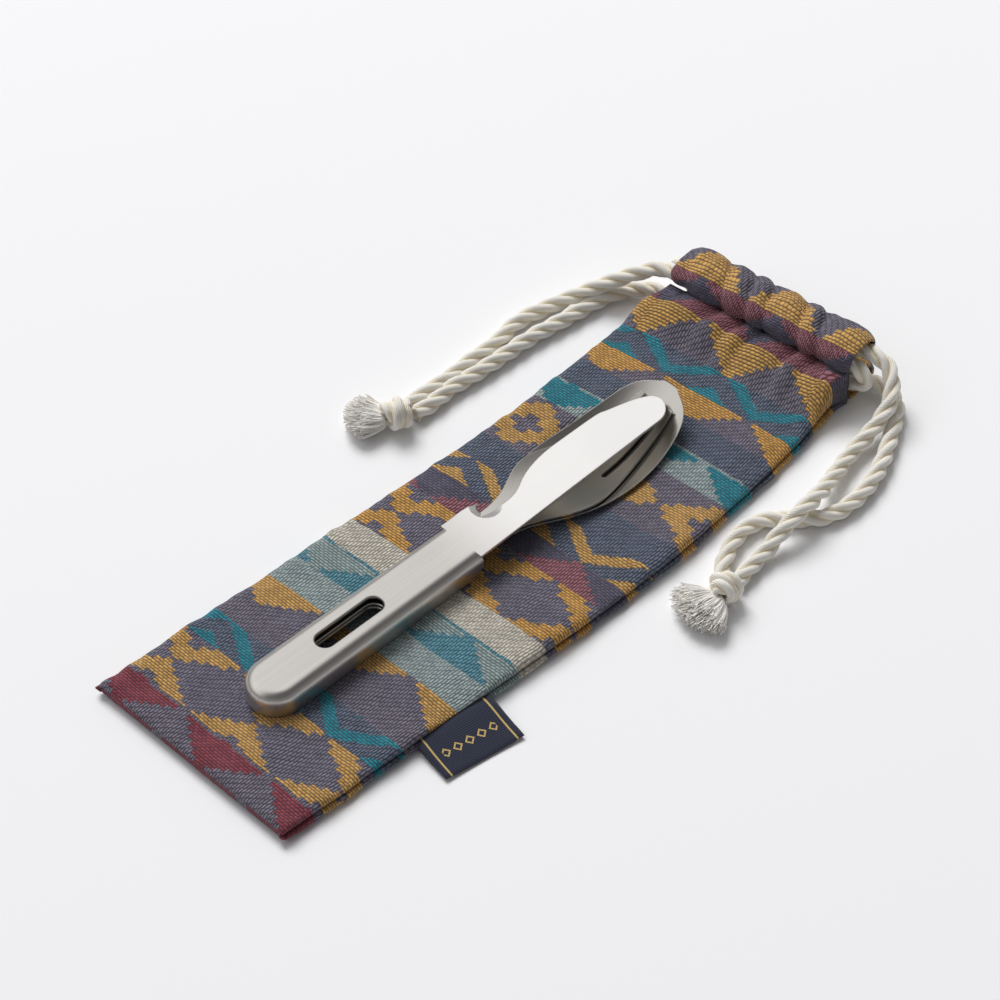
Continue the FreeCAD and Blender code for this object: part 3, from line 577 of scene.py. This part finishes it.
def side_y(side, x):
    """Where one side of the pouch lies at x: straight to its bend, then curved."""
    corner_y, bend, radius = side
    slope = (bend[1] - corner_y) / (bend[0] - closed_x)
    past = max(0.0, x - bend[0])
    waver = seam_waver * noise.noise(Vector((x / 16, corner_y, 0.0)))
    return bend[1] + slope * (x - bend[0]) + past ** 2 / (2 * radius) + waver


def gather(along):
    """0 in the folds between the mouth's gathers, 1 on their crowns."""
    along = max(gathers[0], min(gathers[-1], along))
    for low, high in zip(gathers, gathers[1:]):
        if along <= high:
            return abs(math.sin(math.pi * (along - low) / (high - low))) ** 0.7
    return 0.0


def ease(share):
    """Smooth change from 0 to 1 as a share goes from 0 to 1, level outside it."""
    share = max(0.0, min(1.0, share))
    return (1 - math.cos(math.pi * share)) / 2


def soft_least(a, b, width):
    """The lesser of two heights, rounded off where they cross."""
    share = max(0.0, min(1.0, 0.5 + (b - a) / (2 * width)))
    return b + (a - b) * share - width * share * (1 - share)


def under_bowl(x, y):
    """Height of the spoon's underside, run on past its rim as the cloth leans on it."""
    x -= butt_x
    side = bowl_side_rise * ((y - axis_y) / bowl_half_width) ** 2
    if x >= bowl_deepest:
        past = (x - bowl_deepest) / (bowl_end - bowl_deepest)
        return bowl_z + bowl_tip_rise * past ** 2 + side
    share = (x - neck_start) / (bowl_deepest - neck_start)
    return neck_z - (neck_z - bowl_z) * ease(share) + side * ease(1.6 * share)


steel_above = [BVHTree.FromObject(frame["nodes"][name], bpy.context.evaluated_depsgraph_get())
               for name in ("knife", "fork", "spoon")]


def lowest_steel(x, y):
    """Height of the steel's underside near a place, or 99 where there is none."""
    least = 99.0
    for dx, dy in ((0, 0), (1.5, 0), (-1.5, 0), (0, 1.5), (0, -1.5)):
        start = Vector((x + dx, y + dy, -1.0)) * MM
        for tree in steel_above:
            hit = tree.ray_cast(start, Vector((0, 0, 1)))[0]
            if hit:
                least = min(least, hit.z / MM)
    return least


def upper_cloth(x, y, from_seam, along, out):
    """Height of the upper cloth where it is clear of its edges."""
    slack = 1.1 * noise.noise(Vector((x / 30, y / 22, 0.3)))
    pucker = 1.3 * math.exp(-from_seam / 5.0) * noise.noise(Vector((x / 4.8, y / 9, 4.0)))
    ripple = 0.4 * noise.noise(Vector((x / 12, y / 8, 9.0)))
    top = pouch_thick - 0.3 + slack + pucker + ripple
    height = soft_least(top, under_bowl(x, y) - under_spoon_gap, 1.0)
    height = min(height, lowest_steel(x, y) - under_steel_gap)
    lift = ease((out + lip_ramp) / lip_ramp)
    crown = gather(along + fold_slant) - 0.5
    fold = fold_height * ease((out + fold_length) / fold_length) * crown
    return height + lift * (lip_z - height) + fold


def lower_cloth(x, y, from_seam, along, out):
    """Height of the lower cloth's outer face: it lies on the table."""
    return 0.0


def spaced(start_edge, end_edge, length, step):
    """Rows over a length: (share, inset, rise, flat place) with a turned edge at each end."""
    def turned(edge, sign, base):
        rows, run = [], 0.0
        for (inset, rise), (inner, inner_rise) in zip(edge[::-1], edge[-2::-1] + edge[:1]):
            rows.append((base, sign * inset, rise, base * length + sign * (edge[-1][0] - run)))
            run += math.hypot(inner - inset, (inner_rise - rise) * (pouch_thick - seam_z))
        return rows
    rows = turned(start_edge, 1, 0.0)[::-1]
    first = start_edge[-1][0] / length
    last = 1.0 - (end_edge[-1][0] / length if end_edge else 0.0)
    count = round((last - first) * length / step)
    for i in range(1, count + (0 if end_edge else 1)):
        share = first + (last - first) * i / count
        rows.append((share, 0.0, 1.0, share * length))
    return rows + (turned(end_edge, -1, 1.0) if end_edge else [])


def grid_faces(rows, width, forward, closed=False):
    """Faces between rows of points; closed joins each row's end to its start."""
    faces = []
    for i in range(rows - 1):
        for j in range(width if closed else width - 1):
            a, b, after = i * width, (i + 1) * width, (j + 1) % width
            if forward:
                faces.append((a + j, b + j, b + after, a + after))
            else:
                faces.append((a + j, a + after, b + after, b + j))
    return faces


def map_flat(piece, name, marks):
    """Add a UV map of the cut cloth, from a flat place in metres for each point."""
    uv = piece.data.uv_layers.new(name=name)
    for corner, loop in zip(uv.data, piece.data.loops):
        corner.uv = marks[loop.vertex_index]


def thicken(piece, thickness):
    """Give a sheet its thickness, inwards from its outer face."""
    solid = piece.modifiers.new("cloth_thickness", "SOLIDIFY")
    solid.thickness = thickness * MM
    solid.offset = -1.0


def panel(name, height, is_upper, step):
    """One cloth of the pouch from the closed end to its casing, with its flat size as UV.

    The seam stays put where the lower cloth peeks out past the upper one.
    """
    lines = spaced(folded_edge, [], flat_length, step)
    columns = spaced(sewn_edge, sewn_edge, flat_width, step)
    points, marks = [], []
    for share, inset, end_rise, flat_u in lines:
        for across, side_inset, side_rise, flat_v in columns:
            mouth = at_mouth(tucked, -lip_half + 2 * lip_half * across, 0.0)
            x = closed_x + (mouth[0] - closed_x) * share + inset
            stray = peek_stray * noise.noise(Vector((x / 8, 5.0, 0.0)))
            peek = 0.0 if is_upper else peek_mean + stray
            near, far = side_y(near_side, x) - peek, side_y(far_side, x) + peek
            y = near + (far - near) * across + side_inset
            if side_rise == 0.0:
                y += peek if across < 0.5 else -peek
            out = ((x - mouth_start[0]) * math.cos(mouth_turn)
                   + (y - mouth_start[1]) * math.sin(mouth_turn))
            y += (mouth[1] - y) * ease((out + turn_in) / turn_in)
            from_seam = min(y - near, far - y)
            along = -gathered_half + 2 * gathered_half * across
            top = height(x, y, from_seam, along, out)
            points.append((x, y, seam_z + (top - seam_z) * side_rise * end_rise))
            marks.append((flat_u * MM, flat_v * MM))
    faces = grid_faces(len(lines), len(columns), is_upper)
    piece = add_piece(name, points, faces, jacquard)
    map_flat(piece, "flat_cloth", marks)
    thicken(piece, cloth)
    return piece


# Jacquard cotton: coarse coloured wefts float over a slate warp, so each colour shows as
# short bricks one thread high, and the ground between them as a fine twill.
# Each band is 12 threads long or a multiple of it: where it starts, in rows of 12 threads
# from the closed end, its ground, its figure, and which figure: 0 plain, 1 stepped
# pyramids, 2 broad chevrons, 3 hollow lozenges over two rows.
bands = [
    (0, "66606f", "934650", 1), (1, "625f70", "d3a55e", 3), (3, "41556a", "2f8c9c", 2),
    (4, "66606f", "66606f", 0), (5, "625f70", "d3a55e", 1), (6, "9db0ad", "625f70", 0),
    (7, "2f8c9c", "9db0ad", 1), (8, "ddd6c2", "66606f", 0), (9, "625f70", "d6a253", 3),
    (11, "934650", "625f70", 1), (12, "41556a", "d3a55e", 2), (13, "41556a", "41556a", 0),
    (14, "66606f", "d3a55e", 3), (16, "9db0ad", "2f8c9c", 1), (17, "41556a", "41556a", 0),
    (18, "66606f", "d6a253", 1), (19, "41556a", "2f8c9c", 2), (20, "66606f", "d3a55e", 1),
    (21, "934650", "625f70", 1), (22, "66606f", "d3a55e", 3), (24, "625f70", "934650", 1),
    (25, "d3a55e", "66606f", 2), (26, "66606f", "d3a55e", 1)]
thread = 0.95 * MM
row_threads = 12.0
row_share = 1 / 28

jacquard, tree, shader = new_material("jacquard_woven_cotton", {
    "Roughness": 0.95, "Specular IOR Level": 0.15, "Sheen Weight": 0.15, "Sheen Roughness": 0.5})
flat = node(tree, "ShaderNodeUVMap", uv_map="flat_cloth")
place = node(tree, "ShaderNodeTexCoord")
drift = node(tree, "ShaderNodeTexNoise", {
    "Vector": place.outputs["Object"], "Scale": 90.0, "Detail": 1.0})
strayed = node(tree, "ShaderNodeVectorMath", {
    0: drift.outputs["Color"], 1: (0.0012,) * 3, 2: flat}, operation="MULTIPLY_ADD")
threads = node(tree, "ShaderNodeVectorMath", {0: strayed, "Scale": 1 / thread}, operation="SCALE")
counted = node(tree, "ShaderNodeVectorMath", {0: threads}, operation="FLOOR")
pick = node(tree, "ShaderNodeSeparateXYZ", {0: counted})
exact = node(tree, "ShaderNodeSeparateXYZ", {0: threads})
weft, warp = pick.outputs["X"], pick.outputs["Y"]
band_place = node(tree, "ShaderNodeMath", {0: weft, 1: 0.5}, operation="ADD")
band_share = node(tree, "ShaderNodeMath", {
    0: band_place, 1: row_share / row_threads}, operation="MULTIPLY")


def band_ramp(values):
    """Constant steps along the cloth, one for each band."""
    ramp = node(tree, "ShaderNodeValToRGB", {0: band_share})
    ramp.color_ramp.interpolation = "CONSTANT"
    stops = ramp.color_ramp.elements
    while len(stops) > 1:
        stops.remove(stops[-1])
    stops[0].color = values[0]
    for band, value in list(zip(bands, values))[1:]:
        stops.new(band[0] * row_share).color = value
    return ramp.outputs["Color"]


ground = band_ramp([srgb(band[1]) for band in bands])
figure = band_ramp([srgb(band[2]) for band in bands])
kind = band_ramp([(band[3] / 4, band[3] / 4, band[3] / 4, 1.0) for band in bands])

# Figures stand side by side, 40 warps apart. Their outlines climb by two wefts at a time.
beside = node(tree, "ShaderNodeMath", {0: warp, 1: 20.0}, operation="PINGPONG")
in_row = node(tree, "ShaderNodeMath", {0: weft, 1: row_threads}, operation="FLOORED_MODULO")
row_half = node(tree, "ShaderNodeMath", {0: in_row, 1: 0.5}, operation="MULTIPLY")
stair = node(tree, "ShaderNodeMath", {0: row_half}, operation="FLOOR")
pyramid_edge = node(tree, "ShaderNodeMath", {0: stair, 1: 3.0, 2: 2.5}, operation="MULTIPLY_ADD")
pyramid = node(tree, "ShaderNodeMath", {0: beside, 1: pyramid_edge}, operation="LESS_THAN")
chevron_rise = node(tree, "ShaderNodeMath", {0: beside, 1: 0.6, 2: weft}, operation="MULTIPLY_ADD")
chevron_part = node(tree, "ShaderNodeMath", {
    0: chevron_rise, 1: row_threads}, operation="FLOORED_MODULO")
chevron = node(tree, "ShaderNodeMath", {0: chevron_part, 1: 5.0}, operation="LESS_THAN")
over_rows = node(tree, "ShaderNodeMath", {0: weft, 1: row_threads}, operation="ADD")
double_row = node(tree, "ShaderNodeMath", {0: over_rows, 1: row_threads}, operation="PINGPONG")
double_half = node(tree, "ShaderNodeMath", {0: double_row, 1: 0.5}, operation="MULTIPLY")
lozenge_stair = node(tree, "ShaderNodeMath", {0: double_half}, operation="FLOOR")
lozenge_edge = node(tree, "ShaderNodeMath", {
    0: lozenge_stair, 1: 3.4, 2: beside}, operation="MULTIPLY_ADD")
lozenge = node(tree, "ShaderNodeMath", {0: lozenge_edge, 1: 18.5}, operation="LESS_THAN")
hollow = node(tree, "ShaderNodeMath", {0: lozenge_edge, 1: 6.0}, operation="GREATER_THAN")
ring = node(tree, "ShaderNodeMath", {0: lozenge, 1: hollow}, operation="MULTIPLY")
drawn = None
for value, figured in ((0.25, pyramid), (0.5, chevron), (0.75, ring)):
    chosen = node(tree, "ShaderNodeMath", {0: kind, 1: value, 2: 0.05}, operation="COMPARE")
    part = node(tree, "ShaderNodeMath", {0: chosen, 1: figured}, operation="MULTIPLY")
    drawn = part if drawn is None else node(
        tree, "ShaderNodeMath", {0: drawn, 1: part}, operation="ADD")


def bow(run, sharpness):
    """Rise of a thread over each whole step of a run: 0 at the step's ends, 1 at its middle."""
    part = node(tree, "ShaderNodeMath", {0: run}, operation="FRACT")
    arc = node(tree, "ShaderNodeMath", {0: part, 1: math.pi}, operation="MULTIPLY")
    sine = node(tree, "ShaderNodeMath", {0: arc}, operation="SINE")
    rise = node(tree, "ShaderNodeMath", {0: sine, 1: sharpness}, operation="POWER")
    return rise.outputs[0]


# A float covers two warps, and each weft starts one warp over from the last.
shifted = node(tree, "ShaderNodeMath", {
    0: weft, 1: 1.0, 2: exact.outputs["Y"]}, operation="MULTIPLY_ADD")
float_at = node(tree, "ShaderNodeMath", {0: shifted, 1: 0.5}, operation="MULTIPLY")
brick = node(tree, "ShaderNodeMath", {
    0: bow(exact.outputs["X"], 1.0), 1: bow(float_at.outputs[0], 0.4)}, operation="MULTIPLY")
float_number = node(tree, "ShaderNodeMath", {0: float_at}, operation="FLOOR")
float_name = node(tree, "ShaderNodeCombineXYZ", {0: weft, 1: float_number})
dye = node(tree, "ShaderNodeTexWhiteNoise", {"Vector": float_name})
# Between figures the slate warps float lengthwise instead, each stepped on from the last,
# which draws the steep broken lines of the twill.
stepped = node(tree, "ShaderNodeMath", {
    0: warp, 1: 0.8, 2: exact.outputs["X"]}, operation="MULTIPLY_ADD")
warp_float = node(tree, "ShaderNodeMath", {0: stepped, 1: 0.42}, operation="MULTIPLY")
twill_rise = node(tree, "ShaderNodeMath", {
    0: bow(warp_float.outputs[0], 0.6), 1: bow(exact.outputs["Y"], 1.0)}, operation="MULTIPLY")
twill = node(tree, "ShaderNodeMapRange", {"Value": twill_rise, "From Min": 0.1, "From Max": 0.75})
# Painted shade and light: a darker copy of the ground where each warp float dips under, a lighter
# one on its crest.
ground_painted_shade = node(tree, "ShaderNodeMix", {
    "Factor": 0.55, 6: ground, 7: srgb("30303e")}, data_type="RGBA")
ground_painted_light = node(tree, "ShaderNodeMix", {
    "Factor": 0.22, 6: ground, 7: srgb("c3bcc4")}, data_type="RGBA")
ground_twill = node(tree, "ShaderNodeMix", {
    "Factor": twill, 6: ground_painted_shade.outputs[2], 7: ground_painted_light.outputs[2]}, data_type="RGBA")
# Between floats the dark slate warp shows, darkened further as painted shade in the gaps.
figure_gap_warp_and_shade = node(tree, "ShaderNodeMix", {
    "Factor": 0.8, 6: figure, 7: srgb("3a3540")}, data_type="RGBA")
gap = node(tree, "ShaderNodeMapRange", {"Value": brick, "From Min": 0.15, "From Max": 0.65})
figure_floats = node(tree, "ShaderNodeMix", {
    "Factor": gap, 6: figure_gap_warp_and_shade.outputs[2], 7: figure}, data_type="RGBA")
figured = node(tree, "ShaderNodeMix", {
    "Factor": drawn, 6: ground_twill.outputs[2], 7: figure_floats.outputs[2]}, data_type="RGBA")
dyed = node(tree, "ShaderNodeMapRange", {
    "Value": dye.outputs["Value"], "To Min": 0.80, "To Max": 1.12})
shaded = node(tree, "ShaderNodeMix", {
    "Factor": 1.0, 6: figured.outputs[2], 7: dyed}, data_type="RGBA", blend_type="MULTIPLY")
lint = node(tree, "ShaderNodeTexNoise", {"Vector": threads, "Scale": 2.2, "Detail": 3.0})
fluffed = node(tree, "ShaderNodeMapRange", {
    "Value": lint.outputs["Fac"], "From Min": 0.62, "From Max": 0.85, "To Max": 0.35})
linted = node(tree, "ShaderNodeMix", {
    "Factor": fluffed, 6: shaded.outputs[2], 7: srgb("b3a9a6")}, data_type="RGBA")
woven_rise = node(tree, "ShaderNodeMix", {"Factor": drawn, 2: twill, 3: brick}, data_type="FLOAT")
relief = node(tree, "ShaderNodeMath", {
    0: lint.outputs["Fac"], 1: 0.5, 2: woven_rise}, operation="MULTIPLY_ADD")
bump = node(tree, "ShaderNodeBump", {"Height": relief, "Distance": 0.00032, "Strength": 1.0})
tree.links.new(linted.outputs[2], shader.inputs["Base Color"])
tree.links.new(bump.outputs[0], shader.inputs["Normal"])

upper = panel("upper_cloth", upper_cloth, True, 1.5)
lower = panel("lower_cloth", lower_cloth, False, 4.0)
for piece, cad_name, held in ((upper, "pouch_front_panel", "gathered"),
                              (lower, "pouch_back_panel", "laid")):
    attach(piece, "pouch")
    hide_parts(cad_name)


# --- Casings ------------------------------------------------------------------------
# Each lip of the mouth is turned over and sewn down into a tunnel for the drawcords, which
# gather it into half a dozen soft lobes. Both ends stay open.
casing_half = 35.5
casing_reach = 8.3  # half of the tunnel's width, mouth to joined edge
casing_girth, gathered_width = 0.044, 0.092
end_roll, end_shrink = 3.0, 0.16  # how much of each end curls in, and by how much
inner_shrink = 0.10  # the side against the other casing is drawn up shorter
valley, lobe, crease = -0.25, 2.3, 0.7
outward_swell, back_fold_shift = 0.6, 3.0


def casing(name, middle_z, half_height, upside):
    """Gathered tunnel of cloth, open at both ends, with its flat size as UV."""
    around, rows = 56, 150
    points, marks = [], []
    for i in range(rows + 1):
        share = i / rows
        for j in range(around):
            turn = 2 * math.pi * j / around
            side, rise = math.cos(turn), math.sin(turn)
            along = -casing_half + 2 * casing_half * share
            over = (side + 1) / 2
            crown = gather(along + (fold_slant * (1 - over) if upside else back_fold_shift))
            ripple = noise.noise(Vector((along / 3.5, side * 2.0, rise * 2.0)))
            swell = valley + lobe * crown + crease * ripple
            rolled_in = 1 - end_shrink * max(0.0, (abs(along) - casing_half) / end_roll + 1) ** 2
            upward = swell * max(0.0, rise) if upside else 0.0
            out = casing_reach + (rolled_in * (casing_reach + outward_swell * swell)
                                  * math.copysign(abs(side) ** 0.8, side))
            z = middle_z + (rolled_in * (half_height + upward)
                            * math.copysign(abs(rise) ** 0.75, rise))
            inner = max(0.0, -rise if upside else rise)
            along *= 1 - inner_shrink * inner ** 2
            points.append(at_mouth(out, along, z))
            marks.append((flat_length * MM + casing_girth * (j / around - 0.5),
                          share * gathered_width))
    faces = grid_faces(rows + 1, around, True, closed=True)
    piece = add_piece(name, points, faces, jacquard)
    uv = piece.data.uv_layers.new(name="flat_cloth")
    for face in piece.data.polygons:
        for loop in face.loop_indices:
            vertex = piece.data.loops[loop].vertex_index
            u, v = marks[vertex]
            wraps = face.index % around == around - 1 and vertex % around == 0
            uv.data[loop].uv = (u + casing_girth if wraps else u, v)
    thicken(piece, cloth)
    return piece


front_casing = casing("front_casing", 16.0, 3.8, True)
back_casing = casing("back_casing", 3.8, 3.8, False)
for piece, cad_name in ((front_casing, "casing_front"), (back_casing, "casing_back")):
    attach(piece, "pouch")
    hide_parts(cad_name)


# --- Label --------------------------------------------------------------------------
# A narrow woven ribbon folded once and caught in the near side seam; it curls down to the
# table. It carries only plain gold lines along its edges and a row of small lozenges.
label_turn = math.radians(-8.3)
label_middle = (-66.5, -33.6)
label_half, label_reach, label_thickness = 14.5, 17.3, 0.35
edge_line_at, lozenge_row_at, lozenges_end = 12.2, 11.5, 9.8
lozenge_step, lozenge_half = 2.2, 1.4
line_half, lozenge_line_half = 0.3, 0.35
# From inside the seam over the top leaf, round the fold and back under: reach, height.
label_section = [(-2.0, 2.9), (1.0, 3.1), (4.0, 2.8), (8.0, 1.9), (12.0, 1.25), (15.5, 0.95),
                 (17.0, 0.75), (17.3, 0.5), (17.0, 0.3), (15.0, 0.22), (11.0, 0.3), (7.0, 0.7),
                 (3.0, 1.5), (0.0, 2.2), (-2.0, 2.3)]
points, marks = [], []
columns = 16
for i in range(columns + 1):
    x = -label_half + 2 * label_half * i / columns
    run = 0.0
    for j, (reach, z) in enumerate(label_section):
        if j:
            run += math.hypot(reach - label_section[j - 1][0], z - label_section[j - 1][1])
        lift = 0.5 * (x / label_half) ** 2 * max(0.0, reach) / label_reach
        points.append((label_middle[0] + x * math.cos(label_turn) + reach * math.sin(label_turn),
                       label_middle[1] + x * math.sin(label_turn) - reach * math.cos(label_turn),
                       z + lift))
        marks.append((x * MM, run * MM))
faces = grid_faces(columns + 1, len(label_section), False)
# Damask polyester ribbon with a slight silky sheen. The ribs across it are drawn coarser
# than a real ribbon's, which would be too fine to show.
ribbon, tree, shader = new_material("woven_polyester_ribbon", {
    "Roughness": 0.6, "Sheen Weight": 0.2})
flat = node(tree, "ShaderNodeUVMap", uv_map="flat_ribbon")
at = node(tree, "ShaderNodeSeparateXYZ", {0: flat})
from_middle = node(tree, "ShaderNodeMath", {0: at.outputs["X"]}, operation="ABSOLUTE")
edge_line = node(tree, "ShaderNodeMath", {
    0: from_middle, 1: edge_line_at * MM, 2: line_half * MM}, operation="COMPARE")
lozenge_x = node(tree, "ShaderNodeMath", {
    0: at.outputs["X"], 1: lozenge_step * MM}, operation="PINGPONG")
row = node(tree, "ShaderNodeMath", {
    0: at.outputs["Y"], 1: lozenge_row_at * MM}, operation="SUBTRACT")
row_off = node(tree, "ShaderNodeMath", {0: row}, operation="ABSOLUTE")
lozenge = node(tree, "ShaderNodeMath", {0: lozenge_x, 1: row_off}, operation="ADD")
small = node(tree, "ShaderNodeMath", {
    0: lozenge, 1: lozenge_half * MM, 2: lozenge_line_half * MM}, operation="COMPARE")
inside = node(tree, "ShaderNodeMath", {
    0: from_middle, 1: lozenges_end * MM}, operation="LESS_THAN")
small_row = node(tree, "ShaderNodeMath", {0: small, 1: inside}, operation="MULTIPLY")
gold = node(tree, "ShaderNodeMath", {0: edge_line, 1: small_row}, operation="MAXIMUM")
ribs = node(tree, "ShaderNodeTexWave", {
    "Vector": flat, "Scale": 420.0, "Distortion": 0.0}, bands_direction="Y")
# Painted shade and light: the navy is darker in each rib's hollow and lighter on its crest.
navy_with_painted_rib_shade = node(tree, "ShaderNodeMix", {
    "Factor": ribs.outputs["Fac"], 6: srgb("141828"), 7: srgb("262c44")}, data_type="RGBA")
colour = node(tree, "ShaderNodeMix", {
    "Factor": gold, 6: navy_with_painted_rib_shade.outputs[2], 7: srgb("c9ad6a")}, data_type="RGBA")
bump = node(tree, "ShaderNodeBump", {
    "Height": ribs.outputs["Fac"], "Distance": 0.0001, "Strength": 0.6})
tree.links.new(colour.outputs[2], shader.inputs["Base Color"])
tree.links.new(bump.outputs[0], shader.inputs["Normal"])
label = add_piece("folded_label", points, faces, ribbon)
map_flat(label, "flat_ribbon", marks)
thicken(label, label_thickness)
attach(label, "pouch")
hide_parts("label")


# --- Last update of the scene --------------------------------------------------------
bpy.context.view_layer.update()
